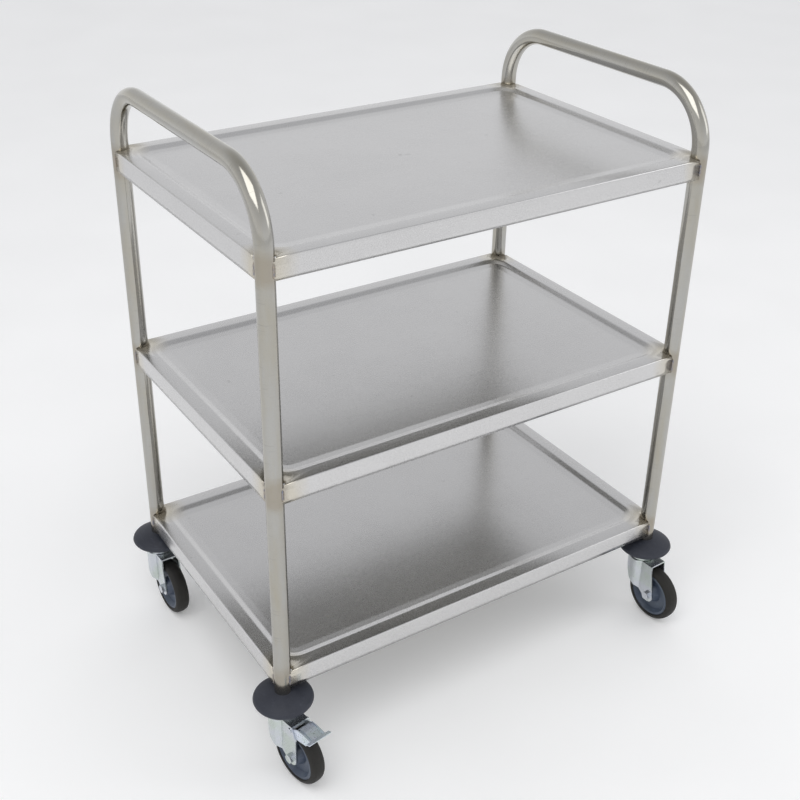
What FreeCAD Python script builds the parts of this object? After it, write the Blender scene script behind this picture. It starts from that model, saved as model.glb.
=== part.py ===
import FreeCAD, Part
import math
import os
import Sketcher

# Food service trolley: two bent tube end frames, three pressed shelves and four swivel castors.
# Millimetres. +X runs along the trolley, -Y is the near long side, +Z is up.
# The origin is on the floor, midway between the four legs.

Vector = FreeCAD.Vector

NEARLY = 0.05  # how close two heights or places are taken as the same

DRIVING_SIZES = {
    # end frames
    "tube_diameter": 25.0,
    "tube_wall": 1.2,
    "leg_spacing_long": 702.0,
    "leg_spacing_deep": 454.0,
    "leg_foot_height": 146.5,
    "overall_height": 930.0,
    "handle_bend_radius": 86.0,
    # shelves
    "lowest_rim_height": 186.0,
    "shelf_pitch": 318.5,
    "shelf_overhang": 11.0,
    "flange_height": 30.0,
    "sheet_gauge": 1.0,
    "rim_width": 22.0,
    "upper_slope_width": 8.0,
    "upper_slope_drop": 3.7,
    "lower_slope_width": 14.0,
    "lower_slope_drop": 1.5,
    "deck_corner_radius": 32.0,
    "slope_blend_radius": 10.0,
    "flange_bend_radius": 2.0,
    "notch_margin": 5.0,
    # folded stiffener
    "stiffener_crown": 40.0,
    "stiffener_lip": 12.0,
    "stiffener_height": 18.0,
    "stiffener_end_gap": 6.0,
    # buffers and leg plugs
    "buffer_radius": 44.5,
    "buffer_base_height": 125.5,
    "buffer_rim_height": 132.0,
    "buffer_seat_radius": 13.5,
    "buffer_boss_radius": 15.0,
    "buffer_bore_radius": 6.4,
    "buffer_edge_width": 7.0,
    "buffer_under_radius": 9.0,
    "buffer_edge_radius": 7.0,
    "buffer_edge_rise": 5.6,
    "buffer_edge_step": 4.5,
    "buffer_dome_radius": 64.0,
    "plug_length": 38.0,
    # castor head
    "stem_radius": 6.0,
    "stem_top_height": 179.5,
    "stem_head_radius": 9.0,
    "stem_head_height": 5.0,
    "stem_chamfer": 1.5,
    "head_clearance": 0.1,
    "race_radius": 22.0,
    "race_height": 10.0,
    "race_gauge": 2.0,
    "race_skirt_gap": 1.0,
    "ball_radius": 2.5,
    "ball_circle_radius": 16.5,
    "balls_per_ring": 14.0,
    # fork
    "fork_top_height": 109.4,
    "fork_gauge": 2.2,
    "fork_head_radius": 24.0,
    "fork_round_end": 7.2,
    "fork_side_start": 14.0,
    "fork_half_width": 16.2,
    "fork_front_reach": 37.0,
    "fork_back_height": 95.0,
    "fork_back_trail": 20.5,
    "fork_waist_height": 65.5,
    "fork_waist_trail": 3.5,
    "fork_end_radius": 12.0,
    "fork_end_back_angle": 205.0,
    "fork_end_front_angle": 350.0,
    "fork_shoulder_step": 1.5,
    "fork_shoulder_height": 97.0,
    "brake_shoulder_step": 10.0,
    "brake_shoulder_height": 89.0,
    "race_seat_half_width": 3.0,
    "running_clearance": 0.05,
    # wheel
    "castor_trail": 34.5,
    "wheel_radius": 48.6,
    "tyre_width": 24.2,
    "tyre_shoulder_radius": 8.0,
    "tyre_crown": 0.6,
    "tyre_tread_radius": 20.0,
    "tyre_key_half_width": 4.0,
    "tyre_key_height": 2.0,
    "hub_radius": 38.8,
    "hub_rim_width": 20.0,
    "hub_rim_gauge": 4.0,
    "hub_rim_draft": 1.0,
    "hub_boss_radius": 13.0,
    "hub_boss_width": 26.8,
    "hub_web_half": 3.0,
    "hub_fillet": 4.5,
    "sleeve_radius": 6.0,
    "sleeve_wall": 1.9,
    "axle_radius": 4.0,
    "axle_hole_clearance": 0.2,
    "hex_across_flats": 13.0,
    "bolt_head_height": 5.3,
    "bolt_end": 1.5,
    "nut_height": 6.5,
    # foot brake
    "pin_trail": 34.0,
    "pin_height": 102.4,
    "pin_radius": 2.5,
    "pin_head_step": 1.6,
    "pedal_gauge": 1.6,
    "pedal_half_width": 13.85,
    "pedal_rib_half_width": 9.0,
    "pedal_lip_half_width": 20.0,
    "pedal_floor_drop": 2.6,
    "pedal_back_trail": 44.0,
    "pedal_back_height": 106.5,
    "pedal_fold_trail": 49.0,
    "pedal_fold_height": 111.2,
    "pedal_crest_trail": 60.0,
    "pedal_crest_height": 112.2,
    "pedal_dip_trail": 77.0,
    "pedal_dip_height": 110.2,
    "pedal_front_trail": 84.0,
    "pedal_front_height": 112.6,
    "wall_back_trail": 28.5,
    "wall_back_low": 97.5,
    "wall_back_high": 104.6,
    "wall_heel_trail": 47.0,
    "wall_heel_height": 91.5,
    "wall_toe_trail": 67.5,
    "wall_toe_height": 95.2,
    "brake_throw": 10.0,
    "shoe_back_contact": 50.0,
    "shoe_front_contact": 62.0,
    "shoe_gap": 0.3,
    "shoe_half_width": 9.0,
    "shoe_shoulder_drop": 1.6,
    # long enough to cut right through any piece
    "through_cut": 100.0,
}

# Each corner: sign along X, sign along Y, the way its wheel trails in degrees, and whether it brakes.
CORNERS = {
    "near_left": (-1, -1, -80.0, True),
    "near_right": (1, -1, -87.0, False),
    "far_left": (-1, 1, -88.0, False),
    "far_right": (1, 1, -83.0, True),
}

SHELVES = {"bottom": 0, "middle": 1, "top": 2}

doc = FreeCAD.newDocument("service_trolley")


def make_sheet():
    """The spreadsheet that drives every size."""
    sheet = doc.addObject("Spreadsheet::Sheet", "Sizes")
    for row, (alias, value) in enumerate(DRIVING_SIZES.items(), start=1):
        sheet.set(f"A{row}", alias)
        sheet.set(f"B{row}", str(value))
        sheet.setAlias(f"B{row}", alias)
    doc.recompute()
    return sheet


SHEET = make_sheet()


def size(text):
    """An expression in which every driving size is named on the sheet."""
    words = []
    for word in text.split():
        bare = word.strip("()")
        words.append(word.replace(bare, f"Sizes.{bare}") if bare in DRIVING_SIZES else word)
    return " ".join(words)


def number(text):
    """The present value of an expression over the driving sizes."""
    return float(SHEET.evalExpression(size(text).replace("Sizes.", "")))


# Heights that several pieces share, as expressions over the driving sizes.
HANDLE_LINE = "overall_height - tube_diameter / 2"
PLUG_TOP = "leg_foot_height + plug_length"
CROWN_UNDERSIDE = "fork_top_height - fork_gauge"
RACE_TOP = "fork_top_height + race_height"
LOWER_RACE_TOP = "fork_top_height + race_gauge"
BALL_LINE = f"{LOWER_RACE_TOP} + ball_radius"

# Places in a castor's own side view, as (distance along the trail, height).
AXLE = ("castor_trail", "wheel_radius")
BRAKE_PIN = ("pin_trail", "pin_height")


def plane_of(body, role):
    return next(item for item in body.Origin.OriginFeatures if item.Role == role)


def new_body(label):
    body = doc.addObject("PartDesign::Body", label)
    body.Label = label
    return body


def new_sketch(body, name, role, offset=None):
    """A sketch on one of the body's own origin planes, moved along its normal by an expression."""
    sketch = body.newObject("Sketcher::SketchObject", name)
    sketch.AttachmentSupport = [(plane_of(body, role), "")]
    sketch.MapMode = "FlatFace"
    if offset:
        sketch.setExpression("AttachmentOffset.Base.z", size(offset))
    return sketch


def bind(sketch, kind, places, text):
    """One driving dimension of a sketch, bound to an expression."""
    index = sketch.addConstraint(Sketcher.Constraint(kind, *places, number(text)))
    sketch.setExpression(f"Constraints[{index}]", size(text))


def pin_point(sketch, geometry, end, place):
    """Holds one end of a line or arc at a place given by two expressions."""
    for kind, text in zip(("DistanceX", "DistanceY"), place):
        if number(text) == 0:
            target = -2 if kind == "DistanceX" else -1
            sketch.addConstraint(Sketcher.Constraint("PointOnObject", geometry, end, target))
        else:
            bind(sketch, kind, (-1, 1, geometry, end), text)


def arc_between(start, end, radius, turn):
    """An arc of at most half a circle from start to end. Turn +1 runs anticlockwise, -1 clockwise."""
    chord = end - start
    half = chord.Length / 2
    rise = math.sqrt(max(radius * radius - half * half, 0.0))
    side = Vector(-chord.y, chord.x, 0).normalize() * turn
    bow = (start + end) / 2 - side * (radius - rise)
    return Part.Arc(start, bow, end)


def outline(sketch, corners, closed=True):
    """Lines and arcs through corners of the form (x, y) or (x, y, radius, turn).

    A corner with a radius starts an arc that ends at the next corner.
    """
    spots = [Vector(number(corner[0]), number(corner[1]), 0) for corner in corners]
    count = len(corners) if closed else len(corners) - 1
    runs = []
    for step in range(count):
        following = (step + 1) % len(corners)
        if len(corners[step]) == 2:
            edge = Part.LineSegment(spots[step], spots[following])
            index = sketch.addGeometry(edge)
            runs.append((index, 1, 2))
            continue
        radius, turn = corners[step][2:]
        edge = arc_between(spots[step], spots[following], number(radius), turn)
        index = sketch.addGeometry(edge)
        begin, finish = (1, 2) if turn > 0 else (2, 1)
        runs.append((index, begin, finish))
    for step in range(count):
        index, begin, finish = runs[step]
        pin_point(sketch, index, begin, corners[step][:2])
        if step + 1 < count or closed:
            after, after_begin, _ = runs[(step + 1) % count]
            sketch.addConstraint(Sketcher.Constraint("Coincident", index, finish, after, after_begin))
        else:
            pin_point(sketch, index, finish, corners[step + 1][:2])
        if len(corners[step]) > 2:
            bind(sketch, "Radius", (index,), corners[step][2])
    return sketch


def circle(sketch, centre, radius):
    """A bound circle."""
    spot = Vector(number(centre[0]), number(centre[1]), 0)
    index = sketch.addGeometry(Part.Circle(spot, Vector(0, 0, 1), number(radius)))
    pin_point(sketch, index, 3, centre)
    bind(sketch, "Radius", (index,), radius)
    return sketch


def rectangle(sketch, low, high):
    """A bound rectangle from its low corner to its high corner."""
    corners = [low, (high[0], low[1]), high, (low[0], high[1])]
    return outline(sketch, corners)


def hexagon(sketch, centre, flats):
    """A bound regular hexagon with two flats level."""
    half, point = f"( {flats} ) / 2", f"( {flats} ) / sqrt(3)"
    places = [(1, 0), (0.5, 1), (-0.5, 1), (-1, 0), (-0.5, -1), (0.5, -1)]
    corners = []
    for across, up in places:
        x_text = f"{centre[0]} + ( {across} ) * {point}"
        corners.append((x_text, f"{centre[1]} + ( {up} ) * {half}"))
    return outline(sketch, corners)


def extrude(body, kind, name, sketch, length, sided="One side", reverse=False):
    """A pad or pocket of one sketch, with its length bound to an expression."""
    feature = body.newObject(f"PartDesign::{kind}", name)
    feature.Profile = sketch
    feature.SideType = sided
    feature.Reversed = reverse
    feature.Length = number(length)
    feature.setExpression("Length", size(length))
    sketch.Visibility = False
    return feature


def turned(body, name, sketch, axis="V_Axis"):
    """A full revolution about one of the sketch's own axes, which is the upright one unless given."""
    feature = body.newObject("PartDesign::Revolution", name)
    feature.Profile = sketch
    feature.ReferenceAxis = (sketch, [axis])
    feature.Angle = 360
    sketch.Visibility = False
    return feature


def edges_where(shape, test):
    """Names of the edges whose middle point passes a test."""
    names = []
    for index, edge in enumerate(shape.Edges, start=1):
        middle = edge.valueAt((edge.FirstParameter + edge.LastParameter) / 2)
        if test(edge, middle):
            names.append(f"Edge{index}")
    return names


def round_off(body, name, base, radius, test):
    """A fillet on the edges of a feature that pass a test."""
    doc.recompute()
    fillet = body.newObject("PartDesign::Fillet", name)
    fillet.Base = (base, edges_where(base.Shape, test))
    fillet.Radius = number(radius)
    fillet.setExpression("Radius", size(radius))
    return fillet


def is_level(edge, height):
    """Whether the whole edge lies at one height."""
    box = edge.BoundBox
    return abs(box.ZMin - height) < NEARLY and abs(box.ZMax - height) < NEARLY


# --- End frames -------------------------------------------------------------------------------


def frame_path(body):
    """Centre line of one end frame: up a leg, over the handle and down the other leg."""
    half = "leg_spacing_deep / 2"
    inner = f"{half} - handle_bend_radius"
    shoulder = f"{HANDLE_LINE} - handle_bend_radius"
    sketch = new_sketch(body, "CentreLine", "YZ_Plane")
    corners = [
        (half, "leg_foot_height"),
        (half, shoulder, "handle_bend_radius", 1),
        (inner, HANDLE_LINE),
        (f"0 - ( {inner} )", HANDLE_LINE, "handle_bend_radius", 1),
        (f"0 - {half}", shoulder),
        (f"0 - {half}", "leg_foot_height"),
    ]
    return outline(sketch, corners, closed=False)


def pipe(body, kind, name, path, radius):
    """A round pipe of one radius along the centre line."""
    ring = new_sketch(body, f"{name}Ring", "XY_Plane", "leg_foot_height")
    circle(ring, ("0", "leg_spacing_deep / 2"), radius)
    feature = body.newObject(f"PartDesign::{kind}", name)
    feature.Profile = ring
    feature.Spine = path
    return feature


def make_end_frame(label, side):
    body = new_body(label)
    path = frame_path(body)
    pipe(body, "AdditivePipe", "Tube", path, "tube_diameter / 2")
    doc.recompute()
    pipe(body, "SubtractivePipe", "Bore", path, "tube_diameter / 2 - tube_wall")
    body.setExpression("Placement.Base.x", size(f"{side} * leg_spacing_long / 2"))


# --- Shelves ----------------------------------------------------------------------------------

HALF_LONG = "( leg_spacing_long / 2 + shelf_overhang )"
HALF_DEEP = "( leg_spacing_deep / 2 + shelf_overhang )"
DECK_DROP = "( upper_slope_drop + lower_slope_drop )"


def rounded_rectangle(sketch, half_x, half_y, radius):
    """A centred rectangle with round corners, drawn anticlockwise."""
    flat_x, flat_y = f"( {half_x} - {radius} )", f"( {half_y} - {radius} )"
    corners = [
        (f"0 - {flat_x}", f"0 - {half_y}"),
        (flat_x, f"0 - {half_y}", radius, 1),
        (half_x, f"0 - {flat_y}"),
        (half_x, flat_y, radius, 1),
        (flat_x, half_y),
        (f"0 - {flat_x}", half_y, radius, 1),
        (f"0 - {half_x}", flat_y),
        (f"0 - {half_x}", f"0 - {flat_y}", radius, 1),
    ]
    return outline(sketch, corners)


def cut_leg_notches(body):
    """Round notches at the corners, open to the outside, which fit the four legs."""
    leg_x, leg_y = "leg_spacing_long / 2", "leg_spacing_deep / 2"
    reach = "( shelf_overhang + notch_margin )"
    for name, (side_x, side_y, *_) in CORNERS.items():
        centre = (f"{side_x} * {leg_x}", f"{side_y} * {leg_y}")
        ring = new_sketch(body, f"Notch_{name}", "XY_Plane", "notch_margin")
        circle(ring, centre, "tube_diameter / 2")
        extrude(body, "Pocket", f"NotchCut_{name}", ring, "through_cut", "Symmetric")
        beyond = (f"{centre[0]} + {side_x} * {reach}", f"{centre[1]} + {side_y} * {reach}")
        square = new_sketch(body, f"Corner_{name}", "XY_Plane", "notch_margin")
        rectangle(square, centre, beyond)
        extrude(body, "Pocket", f"CornerCut_{name}", square, "through_cut", "Symmetric")


def sink_step(body, name, inset, depth, radius):
    """One sloped step of the sunk well, which starts this far in from the edge and this deep."""
    edge = new_sketch(body, f"{name}_step_edge", "XY_Plane", f"0 - {depth}")
    rounded_rectangle(edge, f"( {HALF_LONG} - {inset} )", f"( {HALF_DEEP} - {inset} )", radius)
    step = extrude(body, "Pocket", f"{name}_step", edge, f"{name}_slope_drop")
    width, drop = f"{name}_slope_width", f"{name}_slope_drop"
    step.TaperAngle = -math.degrees(math.atan2(number(width), number(drop)))
    step.setExpression("TaperAngle", size(f"-1 * atan( {width} / {drop} )"))
    doc.recompute()
    return step


def make_shelf(label, level):
    """A pressed tray: flat rim, a two-step slope, sunk deck and turned-down flange. Rim at z = 0."""
    body = new_body(label)
    sketch = new_sketch(body, "Blank", "XY_Plane")
    rectangle(sketch, (f"0 - {HALF_LONG}", f"0 - {HALF_DEEP}"), (HALF_LONG, HALF_DEEP))
    blank = extrude(body, "Pad", "Block", sketch, "flange_height", reverse=True)
    round_off(body, "FlangeBend", blank, "flange_bend_radius", lambda edge, at: is_level(edge, 0))

    sink_step(body, "upper", "rim_width", "0", "deck_corner_radius")
    waist = "( rim_width + upper_slope_width )"
    inner_radius = "( deck_corner_radius - upper_slope_width )"
    sunk = sink_step(body, "lower", waist, "upper_slope_drop", inner_radius)

    def on_well(edge, at):
        inside_x = abs(at.x) < number(f"{HALF_LONG} - rim_width") + NEARLY
        inside_y = abs(at.y) < number(f"{HALF_DEEP} - rim_width") + NEARLY
        levels = (0, -number("upper_slope_drop"), -number(DECK_DROP))
        return inside_x and inside_y and any(is_level(edge, level) for level in levels)

    blended = round_off(body, "SlopeBlend", sunk, "slope_blend_radius", on_well)
    doc.recompute()
    shell = body.newObject("PartDesign::Thickness", "Sheet")
    under = next(
        f"Face{index}"
        for index, face in enumerate(blended.Shape.Faces, start=1)
        if abs(face.BoundBox.ZMax + number("flange_height")) < NEARLY
    )
    shell.Base = (blended, [under])
    shell.Value = number("sheet_gauge")
    shell.setExpression("Value", size("sheet_gauge"))
    shell.Reversed = True
    doc.recompute()
    cut_leg_notches(body)
    body.setExpression("Placement.Base.z", size(f"lowest_rim_height + {level} * shelf_pitch"))


def make_stiffener(label, level):
    """A folded hat channel across the trolley, under a deck."""
    body = new_body(label)
    sketch = new_sketch(body, "Hat", "XZ_Plane")
    top, crown = "0", "stiffener_crown / 2"
    low, inner = "0 - stiffener_height", "( stiffener_crown / 2 - sheet_gauge )"
    lip = "( stiffener_crown / 2 + stiffener_lip )"
    corners = [
        (f"0 - {lip}", top),
        (f"0 - {inner}", top),
        (f"0 - {inner}", f"{low} + sheet_gauge"),
        (inner, f"{low} + sheet_gauge"),
        (inner, top),
        (lip, top),
        (lip, "0 - sheet_gauge"),
        (crown, "0 - sheet_gauge"),
        (crown, low),
        (f"0 - {crown}", low),
        (f"0 - {crown}", "0 - sheet_gauge"),
        (f"0 - {lip}", "0 - sheet_gauge"),
    ]
    outline(sketch, corners)
    length = f"2 * ( {HALF_DEEP} - sheet_gauge - stiffener_end_gap )"
    extrude(body, "Pad", "Channel", sketch, length, "Symmetric")
    height = f"lowest_rim_height + {level} * shelf_pitch - {DECK_DROP} - sheet_gauge"
    body.setExpression("Placement.Base.z", size(height))


# --- Buffers, plugs and stems -----------------------------------------------------------------


def place_at_corner(body, corner, turn=False):
    """Puts a body under its leg, and turns it to the castor's trail when asked."""
    side_x, side_y, angle, _ = CORNERS[corner]
    if turn:
        body.Placement = FreeCAD.Placement(Vector(), FreeCAD.Rotation(Vector(0, 0, 1), angle))
    body.setExpression("Placement.Base.x", size(f"{side_x} * leg_spacing_long / 2"))
    body.setExpression("Placement.Base.y", size(f"{side_y} * leg_spacing_deep / 2"))


def make_turned(label, corner, corners):
    """A body turned about the swivel axis from an outline of (radius, height)."""
    body = new_body(label)
    turned(body, "Turned", outline(new_sketch(body, "Section", "XZ_Plane"), corners))
    place_at_corner(body, corner)


def make_buffer(corner):
    """A domed bumper disc, which sits on the castor head and carries the leg."""
    bore, seat = "buffer_bore_radius", "buffer_seat_radius"
    corners = [
        (bore, RACE_TOP),
        ("buffer_boss_radius", RACE_TOP),
        ("buffer_boss_radius", "buffer_base_height"),
        ("buffer_radius - buffer_edge_width", "buffer_base_height", "buffer_under_radius", 1),
        ("buffer_radius", "buffer_rim_height", "buffer_edge_radius", 1),
        (
            "buffer_radius - buffer_edge_step",
            "buffer_rim_height + buffer_edge_rise",
            "buffer_dome_radius",
            1,
        ),
        (seat, "leg_foot_height"),
        (bore, "leg_foot_height"),
    ]
    make_turned(f"buffer_{corner}", corner, corners)


def make_leg_plug(corner):
    """A plug pressed into the leg, whose hole holds the castor stem."""
    outer = "tube_diameter / 2 - tube_wall"
    corners = [
        ("stem_radius", "leg_foot_height"),
        (outer, "leg_foot_height"),
        (outer, PLUG_TOP),
        ("stem_radius", PLUG_TOP),
    ]
    make_turned(f"leg_plug_{corner}", corner, corners)


def make_stem(corner):
    """The castor's fixed stem, with the head that holds the fork from below."""
    head_top = f"{CROWN_UNDERSIDE} - head_clearance"
    corners = [
        ("0", f"{head_top} - stem_head_height"),
        ("stem_head_radius - stem_chamfer", f"{head_top} - stem_head_height"),
        ("stem_head_radius", f"{head_top} - stem_head_height + stem_chamfer"),
        ("stem_head_radius", head_top),
        ("stem_radius", head_top),
        ("stem_radius", "stem_top_height - stem_chamfer"),
        ("stem_radius - stem_chamfer", "stem_top_height"),
        ("0", "stem_top_height"),
    ]
    make_turned(f"stem_{corner}", corner, corners)


def make_upper_race(corner):
    """The fixed upper half of the swivel bearing, a pressed cup over the balls."""
    inner_top = f"{BALL_LINE} + ball_radius"
    corners = [
        ("stem_radius", inner_top),
        ("race_radius - race_gauge", inner_top),
        ("race_radius - race_gauge", "fork_top_height + race_skirt_gap"),
        ("race_radius", "fork_top_height + race_skirt_gap"),
        ("race_radius", f"{RACE_TOP} - race_gauge", "race_gauge", 1),
        ("race_radius - race_gauge", RACE_TOP),
        ("stem_radius", RACE_TOP),
    ]
    make_turned(f"upper_race_{corner}", corner, corners)


def make_balls():
    """All four ball rings, one group of separate balls."""
    radius, circle_radius = number("ball_radius"), number("ball_circle_radius")
    height = number(BALL_LINE)
    count = int(number("balls_per_ring"))
    balls = []
    for side_x, side_y, *_ in CORNERS.values():
        middle_x = side_x * number("leg_spacing_long / 2")
        middle_y = side_y * number("leg_spacing_deep / 2")
        for step in range(count):
            angle = 2 * math.pi * step / count
            x = middle_x + circle_radius * math.cos(angle)
            y = middle_y + circle_radius * math.sin(angle)
            balls.append(Part.makeSphere(radius, Vector(x, y, height)))
    rings = doc.addObject("Part::Feature", "swivel_balls")
    rings.Label = "swivel_balls"
    rings.Shape = Part.makeCompound(balls)
    rings.Placement = FreeCAD.Placement()


# --- Forks ------------------------------------------------------------------------------------


FORK_BASE = "castor_trail - fork_end_radius"  # a height below both fork legs
FORK_AHEAD = "castor_trail + 2 * fork_end_radius"  # a trail ahead of both fork legs


def fork_plan(sketch, inset):
    """Plan of the fork: round about the stem, then narrower and straight along both legs."""
    head, side = f"( fork_head_radius - {inset} )", f"( fork_half_width - {inset} )"
    round_half = f"sqrt( {head} ^ 2 - fork_round_end ^ 2 )"
    corners = [
        ("fork_round_end", round_half, head, 1),
        (f"0 - {head}", "0", head, 1),
        ("fork_round_end", f"0 - {round_half}"),
        ("fork_side_start", f"0 - {side}"),
        (FORK_AHEAD, f"0 - {side}"),
        (FORK_AHEAD, side),
        ("fork_side_start", side),
    ]
    return outline(sketch, corners)


def on_fork_end(angle):
    """The place on the fork's round end at an angle about the axle."""
    across = f"castor_trail + cos( {angle} * 1deg ) * fork_end_radius"
    return across, f"wheel_radius + sin( {angle} * 1deg ) * fork_end_radius"


def fork_side(sketch, braked):
    """Side view of the fork, inside a rectangle that is cut away around it."""
    kind = "brake" if braked else "fork"
    above, behind = "fork_top_height + stem_chamfer", "0 - 2 * fork_head_radius"
    outline(sketch, [
        (behind, above),
        (behind, "fork_back_height"),
        ("0 - fork_back_trail", "fork_back_height"),
        ("0 - fork_waist_trail", "fork_waist_height"),
        (*on_fork_end("fork_end_back_angle"), "fork_end_radius", 1),
        on_fork_end("fork_end_front_angle"),
        (f"fork_front_reach + {kind}_shoulder_step", f"{kind}_shoulder_height"),
        ("fork_front_reach", above),
    ])
    low = (f"{behind} - notch_margin", "0")
    rectangle(sketch, low, (f"{FORK_AHEAD} + notch_margin", f"{above} + notch_margin"))


def make_fork(corner, braked):
    """A pressed fork: closed crown and round back above, one leg each side of the wheel."""
    body = new_body(f"fork_{corner}")
    plan = fork_plan(new_sketch(body, "OuterPlan", "XY_Plane", FORK_BASE), "0")
    extrude(body, "Pad", "Block", plan, f"fork_top_height - ( {FORK_BASE} )")
    doc.recompute()
    hollow = fork_plan(new_sketch(body, "InnerPlan", "XY_Plane", CROWN_UNDERSIDE), "fork_gauge")
    extrude(body, "Pocket", "Hollow", hollow, "through_cut")
    doc.recompute()
    open_front = new_sketch(body, "FrontPlan", "XY_Plane", CROWN_UNDERSIDE)
    inner = "( fork_half_width - fork_gauge )"
    rectangle(open_front, ("castor_trail", f"0 - {inner}"), (f"{FORK_AHEAD} + notch_margin", inner))
    extrude(body, "Pocket", "FrontOpening", open_front, "through_cut")
    doc.recompute()

    side = new_sketch(body, "SideView", "XZ_Plane")
    fork_side(side, braked)
    trim = extrude(body, "Pocket", "SideTrim", side, "through_cut", "Symmetric")
    doc.recompute()

    def on_crown(edge, at):
        behind_front = at.x < number("fork_front_reach") - NEARLY
        return behind_front and is_level(edge, number("fork_top_height"))

    round_off(body, "CrownBend", trim, "fork_gauge", on_crown)
    doc.recompute()
    seat = new_sketch(body, "RaceSeat", "XZ_Plane")
    inner_seat = "ball_circle_radius - race_seat_half_width"
    outer_seat = "ball_circle_radius + race_seat_half_width"
    rectangle(seat, (inner_seat, "fork_top_height - fork_gauge / 2"), (outer_seat, LOWER_RACE_TOP))
    turned(body, "LowerRace", seat)
    doc.recompute()
    bore = new_sketch(body, "StemHole", "XY_Plane", RACE_TOP)
    circle(bore, ("0", "0"), "stem_radius + running_clearance")
    extrude(body, "Pocket", "StemBore", bore, "through_cut")
    axle = new_sketch(body, "AxleHole", "XZ_Plane")
    circle(axle, AXLE, "axle_radius + axle_hole_clearance")
    extrude(body, "Pocket", "AxleBore", axle, "through_cut", "Symmetric")
    if braked:
        pin = new_sketch(body, "PinHole", "XZ_Plane")
        circle(pin, BRAKE_PIN, "pin_radius")
        extrude(body, "Pocket", "PinBore", pin, "through_cut", "Symmetric")
    place_at_corner(body, corner, turn=True)


# --- Wheels -----------------------------------------------------------------------------------


def make_wheel_piece(label, corner, corners):
    """A body turned about the axle from an outline of (distance along the axle, radius)."""
    body = new_body(label)
    sketch = new_sketch(body, "Section", "YZ_Plane", "castor_trail")
    raised = [(place[0], f"wheel_radius + {place[1]}", *place[2:]) for place in corners]
    outline(sketch, raised)
    half, height = number("axle_radius"), number("wheel_radius")
    line = Part.LineSegment(Vector(-half, height, 0), Vector(half, height, 0))
    axis = sketch.addGeometry(line, True)
    pin_point(sketch, axis, 1, ("0 - axle_radius", "wheel_radius"))
    pin_point(sketch, axis, 2, ("axle_radius", "wheel_radius"))
    turned(body, "Turned", sketch, "Axis0")
    place_at_corner(body, corner, turn=True)


def make_tyre(corner):
    """A solid round-shouldered tyre, keyed over a ridge on the hub."""
    half, shoulder = "( tyre_width / 2 )", "tyre_shoulder_radius"
    rim = "( hub_rim_width / 2 )"
    outer = "( wheel_radius - tyre_crown )"
    corners = [
        (f"0 - {rim}", "hub_radius"),
        ("0 - tyre_key_half_width", "hub_radius"),
        ("0 - tyre_key_half_width", "hub_radius + tyre_key_height"),
        ("tyre_key_half_width", "hub_radius + tyre_key_height"),
        ("tyre_key_half_width", "hub_radius"),
        (rim, "hub_radius"),
        (half, f"{outer} - {shoulder}", shoulder, 1),
        (f"{half} - {shoulder}", outer, "tyre_tread_radius", 1),
        (f"{shoulder} - {half}", outer, shoulder, 1),
        (f"0 - {half}", f"{outer} - {shoulder}"),
    ]
    make_wheel_piece(f"tyre_{corner}", corner, corners)


def make_hub(corner):
    """A moulded wheel centre: boss, thin web and rim, with a ridge that keeps the tyre on."""
    rim, boss = "( hub_rim_width / 2 )", "( hub_boss_width / 2 )"
    bore = "( sleeve_radius + running_clearance )"
    inner = "( hub_radius - hub_rim_gauge )"
    right = [
        (boss, bore),
        (boss, "hub_boss_radius"),
        ("hub_web_half", "hub_boss_radius + hub_fillet"),
        ("hub_web_half", f"{inner} - hub_fillet"),
        (f"{rim} - hub_rim_draft", inner),
        (rim, "hub_radius"),
        ("tyre_key_half_width", "hub_radius"),
        ("tyre_key_half_width", "hub_radius + tyre_key_height"),
    ]
    left = [(f"0 - {across}", out) for across, out in reversed(right)]
    make_wheel_piece(f"wheel_hub_{corner}", corner, right + left)


def make_sleeve(corner):
    """The tube on which the hub turns, held between the fork legs."""
    half = "( fork_half_width - fork_gauge )"
    inner = "sleeve_radius - sleeve_wall"
    corners = [
        (f"0 - {half}", inner),
        (half, inner),
        (half, "sleeve_radius"),
        (f"0 - {half}", "sleeve_radius"),
    ]
    make_wheel_piece(f"bearing_sleeve_{corner}", corner, corners)


def make_axle_bolt(corner):
    """Hexagon bolt through both fork legs, its head on the outer face of one."""
    body = new_body(f"axle_bolt_{corner}")
    head = new_sketch(body, "HeadSide", "XZ_Plane", "fork_half_width")
    extrude(body, "Pad", "Head", hexagon(head, AXLE, "hex_across_flats"), "bolt_head_height")
    doc.recompute()
    shank = new_sketch(body, "ShankSide", "XZ_Plane", "fork_half_width")
    circle(shank, AXLE, "axle_radius")
    length = "2 * fork_half_width + nut_height + bolt_end"
    extrude(body, "Pad", "Shank", shank, length, reverse=True)
    place_at_corner(body, corner, turn=True)


def make_axle_nut(corner):
    """Hexagon nut on the far end of the axle bolt."""
    body = new_body(f"axle_nut_{corner}")
    nut = new_sketch(body, "NutSide", "XZ_Plane", "0 - fork_half_width")
    hexagon(nut, AXLE, "hex_across_flats")
    circle(nut, AXLE, "axle_radius")
    extrude(body, "Pad", "Nut", nut, "nut_height", reverse=True)
    place_at_corner(body, corner, turn=True)


# --- Foot brakes ------------------------------------------------------------------------------

PEDAL_LINE = [
    ("pedal_back_trail", "pedal_back_height"),
    ("pedal_fold_trail", "pedal_fold_height"),
    ("pedal_crest_trail", "pedal_crest_height"),
    ("pedal_dip_trail", "pedal_dip_height"),
    ("pedal_front_trail", "pedal_front_height"),
]


def plate_outline(line, drop):
    """Side view of a bent plate: its upper line forward and its lower line back."""
    upper = [(trail, f"{height} - {drop}") for trail, height in reversed(line)]
    lower = [(trail, f"{height} - {drop} - pedal_gauge") for trail, height in line]
    return upper + lower


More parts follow.
